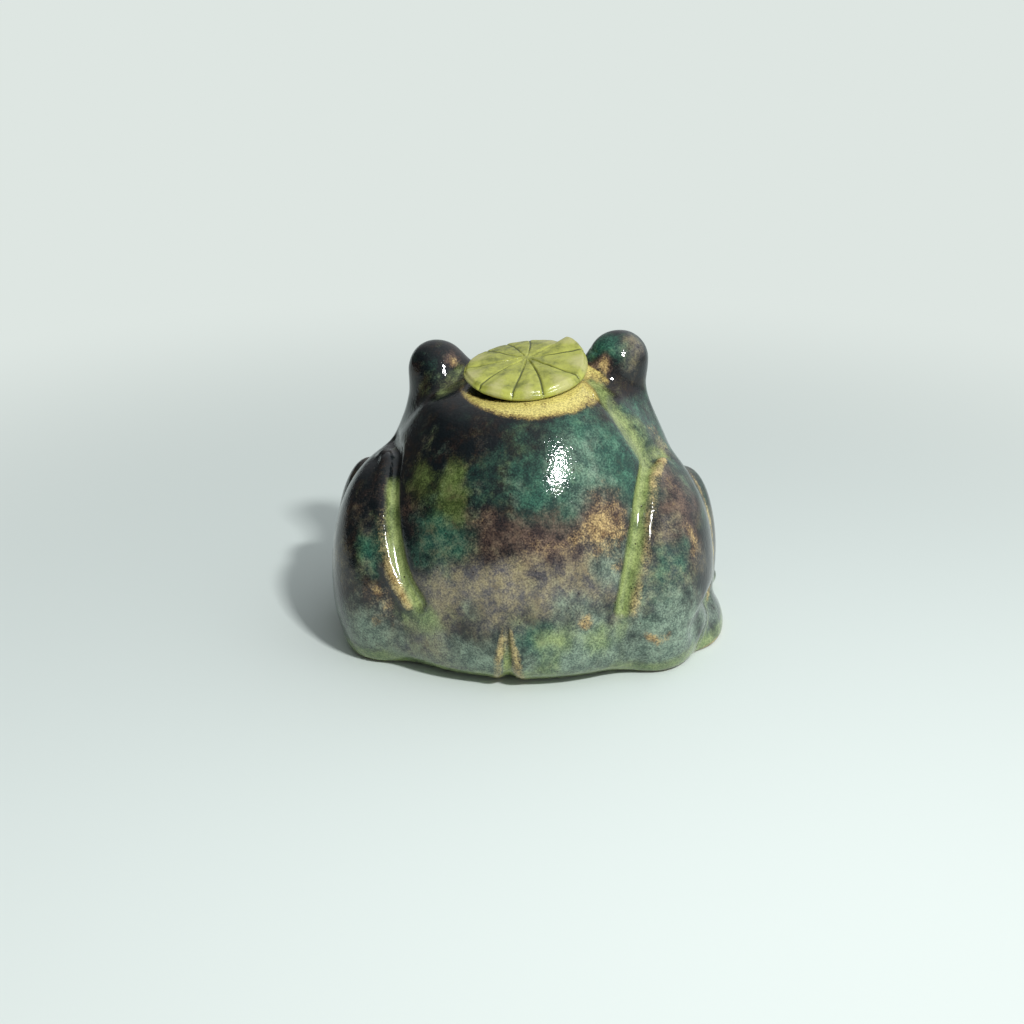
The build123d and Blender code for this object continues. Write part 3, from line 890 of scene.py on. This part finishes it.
@dataclass(frozen=True)
class LeafGlaze:
    """Matt-to-gloss leaf green glaze brushed on the lid, thin and yellow on high places, dark in the scored veins."""

    name: str = "leaf_green_glaze"
    green: str = "#909443"
    pale: str = "#b4b273"
    bright: str = "#a9ad50"
    shade: str = "#767c38"
    vein: str = "#525825"
    speck: str = "#5a5a28"
    gloss: float = 0.22
    index: float = 1.5
    brush_mm: float = 2.6
    grain_mm: float = 0.6

    def build(self) -> bpy.types.Material:
        """Make the leaf glaze's material.

        Returns:
            The material for the pad and its ring.
        """
        material = bpy.data.materials.new(self.name)
        material.use_nodes = True
        tree = material.node_tree
        tree.nodes.clear()
        place = add_node(tree, "ShaderNodeTexCoord", {}).outputs["Object"]
        brush = add_node(tree, "ShaderNodeTexNoise", {
            "Vector": place, "Scale": 1.0 / (self.brush_mm * 1.6 * MM), "Detail": 6.0, "Roughness": 0.7}).outputs["Fac"]
        grain = add_node(tree, "ShaderNodeTexNoise", {
            "Vector": place, "Scale": 1.0 / (self.grain_mm * 1.6 * MM), "Detail": 3.0}).outputs["Fac"]
        groove = add_node(tree, "ShaderNodeAttribute", {}, attribute_name="groove").outputs["Fac"]
        high = add_node(tree, "ShaderNodeAttribute", {}, attribute_name="high").outputs["Fac"]

        def ramp(value: Any, low: float, top: float) -> Any:
            """A soft step from 0 at low to 1 at top."""
            return add_node(tree, "ShaderNodeMapRange", {
                "Value": value, "From Min": low, "From Max": top}, interpolation_type="SMOOTHSTEP").outputs[0]

        def mix(share: Any, below: Any, above: Any) -> Any:
            """Colour above laid over colour below by share."""
            return add_node(tree, "ShaderNodeMix", {0: share, 6: below, 7: above}, data_type="RGBA").outputs[2]

        colour = mix(ramp(brush, 0.40, 0.60), srgb(self.green), srgb(self.bright))
        colour = mix(ramp(brush, 0.46, 0.34), colour, srgb(self.shade))
        worn = add_node(tree, "ShaderNodeMath", {0: grain, 1: 0.6, 2: high}, operation="MULTIPLY_ADD").outputs[0]
        colour = mix(ramp(worn, 0.75, 1.45), colour, srgb(self.pale))
        colour = mix(ramp(groove, 0.25, 0.85), colour, srgb(self.vein))
        colour = mix(ramp(grain, 0.70, 0.78), colour, srgb(self.speck))
        rough = add_node(tree, "ShaderNodeMapRange", {
            "Value": grain, "To Min": self.gloss * 0.6, "To Max": self.gloss * 1.5}).outputs[0]
        bump = add_node(tree, "ShaderNodeBump", {"Height": brush, "Strength": 0.8, "Distance": 0.25 * MM})
        shader = add_node(tree, "ShaderNodeBsdfPrincipled", {
            "Base Color": colour, "Roughness": rough, "IOR": self.index, "Normal": bump.outputs[0]})
        add_node(tree, "ShaderNodeOutputMaterial", {"Surface": shader.outputs[0]})
        return material


def mesh_piece(name: str, points: np.ndarray, faces: Sequence[Sequence[int]], normals: Optional[np.ndarray],
               values: Dict[str, np.ndarray], material: bpy.types.Material) -> bpy.types.Object:
    """Make a mesh object that carries values on its points.

    Args:
        name: The piece's name.
        points: Places in millimetres.
        faces: Point numbers of each face.
        normals: Unit normals to shade with, or none to work them out.
        values: Attribute name to one value for each point.
        material: The finish.

    Returns:
        The new object, linked to the scene.
    """
    mesh = bpy.data.meshes.new(name)
    mesh.from_pydata((points * MM).tolist(), [], faces if isinstance(faces, list) else faces.tolist())
    mesh.shade_smooth()
    for key, data in values.items():
        mesh.attributes.new(key, "FLOAT", "POINT").data.foreach_set("value", data.astype(np.float32))
    if normals is not None:
        mesh.normals_split_custom_set_from_vertices(normals.tolist())
    mesh.materials.append(material)
    piece = bpy.data.objects.new(name, mesh)
    bpy.context.scene.collection.objects.link(piece)
    return piece


@dataclass
class GlazedFrog:
    """The frog's skin: one fused surface, handed back to the clay pieces it belongs to."""

    shape: FrogShape
    glaze: bpy.types.Material
    limits: Tuple[Sequence[float], Sequence[float]]
    voxel_mm: float = 0.62
    passes: int = 6

    def _fused(self) -> Tuple[np.ndarray, np.ndarray]:
        """Fuse copies of the frog's solids into one even mesh.

        Returns:
            Points in millimetres, and four point numbers for each face.
        """
        points: List[np.ndarray] = []
        faces: List[Tuple[int, ...]] = []
        start = 0
        for name in self.shape.distances(np.zeros((1, 3))):
            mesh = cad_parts[name].data
            co = np.empty(len(mesh.vertices) * 3, np.float32)
            mesh.vertices.foreach_get("co", co)
            points.append(co.reshape(-1, 3))
            faces.extend(tuple(start + i for i in p.vertices) for p in mesh.polygons)
            start += len(mesh.vertices)
        mesh = bpy.data.meshes.new("fusing")
        mesh.from_pydata(np.concatenate(points).tolist(), [], faces)
        temp = bpy.data.objects.new("fusing", mesh)
        bpy.context.scene.collection.objects.link(temp)
        remesh = temp.modifiers.new("fuse", "REMESH")
        remesh.mode = "VOXEL"
        remesh.voxel_size = self.voxel_mm * MM
        done = temp.evaluated_get(bpy.context.evaluated_depsgraph_get()).to_mesh()
        co = np.empty(len(done.vertices) * 3, np.float32)
        done.vertices.foreach_get("co", co)
        quads = np.array([tuple(p.vertices) for p in done.polygons if len(p.vertices) == 4])
        bpy.data.objects.remove(temp)
        bpy.data.meshes.remove(mesh)
        return co.reshape(-1, 3).astype(float) / MM, quads

    def _slope(self, points: np.ndarray, at: np.ndarray) -> np.ndarray:
        """Gradient of the skin's distance.

        Args:
            points: Places in millimetres.
            at: The distances at those places.

        Returns:
            One gradient for each point.
        """
        step = 0.08
        return np.stack([(self.shape.skin(points + step * axis) - at) / step for axis in np.eye(3)], 1)

    def _settle(self, points: np.ndarray) -> Tuple[np.ndarray, np.ndarray]:
        """Move points onto the luted and carved form.

        Args:
            points: Places near the skin in millimetres.

        Returns:
            The places on the skin, and the outward unit normals there.
        """
        points = points.copy()
        live = np.arange(len(points))
        for _ in range(self.passes):
            spots = points[live]
            off = self.shape.skin(spots)
            slope = self._slope(spots, off)
            step = off / np.maximum((slope**2).sum(1), 0.2)
            points[live] = spots - np.clip(step, -0.8, 0.8)[:, None] * slope
            live = live[np.abs(off) > 0.02]
        off = self.shape.skin(points)
        slope = self._slope(points, off)
        return points, slope / (np.linalg.norm(slope, axis=1)[:, None] + 1e-9)

    @staticmethod
    def _bend(points: np.ndarray, quads: np.ndarray, normals: np.ndarray) -> np.ndarray:
        """Mean curvature of the mesh, smoothed over a few rings of points.

        Args:
            points: Places in millimetres.
            quads: Faces.
            normals: Outward unit normals.

        Returns:
            Curvature per millimetre, positive on outward edges.
        """
        edges = np.concatenate([quads[:, [0, 1]], quads[:, [1, 2]], quads[:, [2, 3]], quads[:, [3, 0]]])
        a, b = edges[:, 0], edges[:, 1]
        count = np.bincount(a, minlength=len(points)) + np.bincount(b, minlength=len(points))
        turn = ((normals[b] - normals[a]) * (points[b] - points[a])).sum(1)
        turn /= ((points[b] - points[a]) ** 2).sum(1) + 1e-9
        bend = (np.bincount(a, turn, len(points)) + np.bincount(b, turn, len(points))) / np.maximum(count, 1)
        for _ in range(4):
            bend = (np.bincount(a, bend[b], len(points)) + np.bincount(b, bend[a], len(points))) / np.maximum(count, 1)
        return bend

    def build(self) -> List[bpy.types.Object]:
        """Make every glazed clay piece of the frog.

        Returns:
            One object for each node of the frog.
        """
        points, quads = self._fused()
        LOG.info("skin of %d points", len(points))
        points, normals = self._settle(points)
        points = np.clip(points, *(np.array(corner) / MM for corner in self.limits))
        bend = self._bend(points, quads, normals)
        values = GlazeMap(self.shape).values(points, bend)
        middle = points[quads].mean(axis=1)
        apart = self.shape.distances(middle)
        names = list(apart)
        owner = np.argmin(np.stack([apart[n] for n in names]), axis=0)
        owner[np.abs(self.shape.pot.inside(middle)) < 1.0] = 0
        made = []
        for number, name in enumerate(names):
            mine = quads[owner == number]
            if not len(mine):
                LOG.warning("%s has no faces of its own", name)
                continue
            used, local = np.unique(mine, return_inverse=True)
            piece = mesh_piece(f"glazed_{name}", points[used], local.reshape(-1, 4), normals[used],
                               {k: v[used] for k, v in values.items()}, self.glaze)
            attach(piece, "frog")
            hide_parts(name)
            LOG.info("%s: %d faces", piece.name, len(mine))
            made.append(piece)
        return made


@dataclass
class LilyPadLid:
    """The loose lid: a leaf with scored veins and a lapped sinus, on a locating ring."""

    pot: Pot
    glaze: bpy.types.Material
    radius: float = 16.8
    edge: float = 2.9
    rise: float = 1.6
    puff: float = 0.5
    sway: float = 4.0
    gap: float = 0.15
    depth_share: float = 1.05
    overhang: float = 0.5
    warp: float = 1.9
    droop: float = 0.45
    sinus: float = 232.0
    lobe_lift: float = 2.4
    hub_forward: float = 2.6
    veins: Tuple[float, ...] = (0.0, 46.0, 86.0, 113.0, 151.0, 200.0, 270.0, 297.0, 323.0)
    ring_radius: float = 11.9
    ring_wall: float = 3.2
    ring_height: float = 6.0
    rings: int = 60
    steps: int = 360

    def _place(self, local: np.ndarray) -> np.ndarray:
        """Stand points given in the lid's own frame on the leaning rim."""
        up = self.pot.axis()
        across = np.array([1.0, 0.0, 0.0]) - up[0] * up
        across /= np.linalg.norm(across)
        back = np.cross(up, across)
        origin = np.array(self.pot.mouth) + self.gap * up
        return origin + local[:, :1] * across + local[:, 1:2] * back + local[:, 2:] * up

    def _leaf(self) -> bpy.types.Object:
        """Model the leaf as rings of points from its middle, over the rolled edge, to its underside."""
        turn = np.linspace(0.0, 2 * math.pi, self.steps, endpoint=False)
        degrees = np.degrees(turn)
        away = (degrees - self.sinus + 180.0) % 360.0 - 180.0
        outline = self.radius * (1 + 0.012 * np.sin(3 * turn + 0.6) + 0.008 * np.sin(5 * turn + 2.0))
        outline -= 1.1 * bell(away, 3.0)
        for vein in self.veins:
            outline -= 0.14 * bell((degrees - vein - self.sway * math.sin(0.9 * vein + 2.6) + 180.0) % 360.0 - 180.0, 2.2)
        warp = self.warp * np.clip(np.cos(turn - math.radians(14.0)), 0.0, 1.0) ** 1.5
        sag = self.droop * bell((degrees - 95.0 + 180.0) % 360.0 - 180.0, 38.0)
        far = smoothstep(0.1, -0.5, np.sin(turn))
        hub = np.array([0.0, -self.hub_forward])
        rim = np.stack([outline * np.cos(turn), self.depth_share * outline * np.sin(turn)], 1)
        top = 1.0 - (1.0 - np.linspace(0.0, 1.0, self.rings)) ** 1.15
        rows, grooves, highs = [], [], []
        for share in top:
            at = np.full(self.steps, share)
            flat = hub + (rim - hub) * (0.02 + 0.98 * share)
            groove, puff = np.zeros(self.steps), np.ones(self.steps)
            for vein in self.veins:
                lean = vein + self.sway * math.sin(0.9 * vein + 2.6 * share)
                off = np.radians((degrees - lean + 180.0) % 360.0 - 180.0) * share * self.radius
                groove = np.maximum(groove, bell(off, 0.20 + 0.14 * share))
                puff = np.minimum(puff, 1.0 - bell(off, 2.6))
            crease = bell(np.radians(away) * share * self.radius, 0.6) * smoothstep(0.0, 0.2, at)
            height = self.edge + self.rise * (1 - share**2.2) + (0.55 * warp - sag) * share**2
            height += self.lobe_lift * share**2 * bell(away + 8.0, 26.0) * smoothstep(0.0, -3.0, away)
            height += self.puff * (puff + (1.0 - puff) * 0.8 * far) * smoothstep(0.1, 0.8, at)
            height -= 0.75 * smoothstep(0.94, 1.0, at) ** 2
            height -= (0.45 - 0.25 * far) * groove * smoothstep(0.02, 0.12, at) + 0.9 * crease
            height += 0.10 * wander(np.column_stack([flat, height]), 6.0, 41)
            rows.append(np.column_stack([flat, height]))
            grooves.append(np.maximum(groove * smoothstep(0.05, 0.45, at), 0.8 * crease))
            highs.append(puff * smoothstep(0.35, 0.9, at))
        last = rows[self.rings - 1]
        inward = last[:, :2] / np.linalg.norm(last[:, :2], axis=1)[:, None]
        for share, draw in ((0.12, -0.25), (0.35, -0.42), (0.65, -0.38), (0.9, -0.1), (1.0, 0.5)):
            under = last[:, 2] + share * (self.overhang + warp - sag - last[:, 2])
            rows.append(np.column_stack([last[:, :2] - draw * inward, under]))
            grooves.append(0.6 * grooves[self.rings - 1])
            highs.append(highs[self.rings - 1])
        for share in (0.8, 0.4, 0.02):
            rows.append(np.column_stack([rim * share, np.zeros(self.steps)]))
            grooves.append(np.zeros(self.steps))
            highs.append(np.zeros(self.steps))
        local = np.concatenate(rows)
        ring, next_step = np.arange(self.steps), np.roll(np.arange(self.steps), -1)
        faces = [(r * self.steps + a, (r + 1) * self.steps + a, (r + 1) * self.steps + b, r * self.steps + b)
                 for r in range(len(rows) - 1) for a, b in zip(ring, next_step)]
        faces.append(tuple(int(i) for i in ring))
        faces.append(tuple(int((len(rows) - 1) * self.steps + i) for i in ring[::-1]))
        faces = [tuple(int(i) for i in f) for f in faces]
        return mesh_piece("leaf_lid_pad", self._place(local), faces, None,
                          {"groove": np.concatenate(grooves), "high": np.concatenate(highs)}, self.glaze)

    def _ring(self) -> bpy.types.Object:
        """Model the locating ring as a hand-cut collar with soft edges."""
        inner, outer, low = self.ring_radius - self.ring_wall, self.ring_radius, -self.ring_height
        section = [(inner, 0.0), (outer, 0.0), (outer, low + 0.9), (outer - 0.3, low + 0.3), (outer - 0.9, low),
                   (inner + 0.9, low), (inner + 0.3, low + 0.3), (inner, low + 0.9)]
        turn = np.linspace(0.0, 2 * math.pi, 120, endpoint=False)
        local = np.concatenate([np.column_stack([r * np.cos(turn), r * np.sin(turn), np.full(120, h)]) for r, h in section])
        faces = [(r * 120 + a, r * 120 + (a + 1) % 120, ((r + 1) % 8) * 120 + (a + 1) % 120, ((r + 1) % 8) * 120 + a)
                 for r in range(8) for a in range(120)]
        zero = np.zeros(len(local))
        return mesh_piece("leaf_lid_ring", self._place(local), faces, None, {"groove": zero, "high": zero}, self.glaze)

    def build(self) -> List[bpy.types.Object]:
        """Make the lid's two pieces.

        Returns:
            The leaf and the ring.
        """
        made = [self._leaf(), self._ring()]
        for piece, node in zip(made, ("lily_pad", "lid_ring")):
            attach(piece, "lid")
            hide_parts(node)
            LOG.info("%s: %d faces", piece.name, len(piece.data.polygons))
        return made


@dataclass
class Studio:
    """Pale floor, one soft lamp and the camera behind the frog."""

    azimuth: float = 185.0
    elevation: float = 20.0
    lens: float = 60.0
    distance: float = 0.4876
    target: Triple = (0.0, 0.0, 0.040)
    shift: Tuple[float, float] = (-0.0127, -0.0176)
    floor: str = "#d3dcd8"
    backdrop: str = "#dee6e2"
    sky: str = "#eef2f5"

    def _toward(self, azimuth: float, elevation: float) -> Vector:
        """Unit vector from the target to a viewer at these angles."""
        a, e = math.radians(azimuth), math.radians(elevation)
        return Vector((math.sin(a) * math.cos(e), -math.cos(a) * math.cos(e), math.sin(e)))

    def _aim(self, thing: bpy.types.Object, spot: Vector) -> None:
        """Turn a camera or lamp to look at a spot."""
        thing.rotation_euler = (spot - thing.location).to_track_quat("-Z", "Y").to_euler()

    def camera(self) -> None:
        """Put the camera where the photograph was taken from."""
        lens = bpy.data.cameras.new("camera")
        lens.lens = self.lens
        lens.sensor_width = 36.0
        lens.shift_x, lens.shift_y = self.shift
        lens.clip_start = 0.01
        eye = bpy.data.objects.new("camera", lens)
        bpy.context.scene.collection.objects.link(eye)
        eye.location = Vector(self.target) + self.distance * self._toward(self.azimuth, self.elevation)
        self._aim(eye, Vector(self.target))
        bpy.context.scene.camera = eye

    def lamp(self, name: str, azimuth: float, elevation: float, distance: float, size: Tuple[float, float], watts: float) -> None:
        """Add a soft box that faces the frog.

        Args:
            name: The lamp's name.
            azimuth: Direction it stands in, in degrees.
            elevation: Height angle it stands at.
            distance: Distance from the frog.
            size: Width and height of the box.
            watts: Its power.
        """
        light = bpy.data.lights.new(name, "AREA")
        light.shape = "RECTANGLE"
        light.size, light.size_y = size
        light.energy = watts
        lamp = bpy.data.objects.new(name, light)
        bpy.context.scene.collection.objects.link(lamp)
        lamp.location = Vector(self.target) + distance * self._toward(azimuth, elevation)
        self._aim(lamp, Vector(self.target))

    def build(self) -> None:
        """Lay the floor, hang the lamp and light the room."""
        material = bpy.data.materials.new("pale_painted_table")
        material.use_nodes = True
        tree = material.node_tree
        tree.nodes.clear()
        place = add_node(tree, "ShaderNodeTexCoord", {}).outputs["Object"]
        away = add_node(tree, "ShaderNodeVectorMath", {0: place}, operation="LENGTH").outputs["Value"]
        far = add_node(tree, "ShaderNodeMapRange", {
            "Value": away, "From Min": 0.09, "From Max": 0.42}, interpolation_type="SMOOTHSTEP").outputs[0]
        seen = add_node(tree, "ShaderNodeLightPath", {}).outputs["Is Camera Ray"]
        share = add_node(tree, "ShaderNodeMath", {0: far, 1: seen}, operation="MULTIPLY").outputs[0]
        near = add_node(tree, "ShaderNodeBsdfDiffuse", {"Color": srgb(self.floor)}).outputs[0]
        glow = add_node(tree, "ShaderNodeEmission", {"Color": srgb(self.backdrop)}).outputs[0]
        both = add_node(tree, "ShaderNodeMixShader", {0: share, 1: near, 2: glow}).outputs[0]
        add_node(tree, "ShaderNodeOutputMaterial", {"Surface": both})
        mesh = bpy.data.meshes.new("floor")
        mesh.from_pydata([(-8, -8, 0), (8, -8, 0), (8, 8, 0), (-8, 8, 0)], [], [(0, 1, 2, 3)])
        mesh.materials.append(material)
        floor = bpy.data.objects.new("floor", mesh)
        bpy.context.scene.collection.objects.link(floor)
        floor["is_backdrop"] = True
        world = bpy.data.worlds.new("room")
        world.use_nodes = True
        tree = world.node_tree
        way = add_node(tree, "ShaderNodeTexCoord", {}).outputs["Generated"]
        facing = add_node(tree, "ShaderNodeVectorMath", {0: way, 1: (-0.82, -0.12, 0.56)}, operation="DOT_PRODUCT").outputs["Value"]
        level = add_node(tree, "ShaderNodeMapRange", {
            "Value": facing, "From Min": -0.35, "From Max": 0.9, "To Min": 0.07, "To Max": 0.95}).outputs[0]
        room = tree.nodes["Background"]
        seen = add_node(tree, "ShaderNodeLightPath", {}).outputs["Is Camera Ray"]
        tint = add_node(tree, "ShaderNodeMix", {0: seen, 6: srgb(self.sky), 7: srgb(self.backdrop)}, data_type="RGBA").outputs[2]
        level = add_node(tree, "ShaderNodeMix", {0: seen, 2: level, 3: 1.0}).outputs[0]
        tree.links.new(tint, room.inputs["Color"])
        tree.links.new(level, room.inputs["Strength"])
        bpy.context.scene.world = world
        self.lamp("key", 212.0, 42.5, 0.75, (0.075, 0.045), 4.8)
        self.camera()


def main() -> None:
    """Build the frog, its lid and the studio, with the frog's skin clipped to the solids' box."""
    logging.basicConfig(level=logging.INFO, format="%(name)s %(message)s")
    bpy.context.scene.view_settings.view_transform = "Standard"
    solids_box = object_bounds()
    shape = FrogShape()
    LOG.info("%d frog pieces", len(GlazedFrog(shape, ReactiveGlaze().build(), solids_box).build()))
    LilyPadLid(shape.pot, LeafGlaze().build()).build()
    Studio().build()


if __name__ == "__main__":
    main()
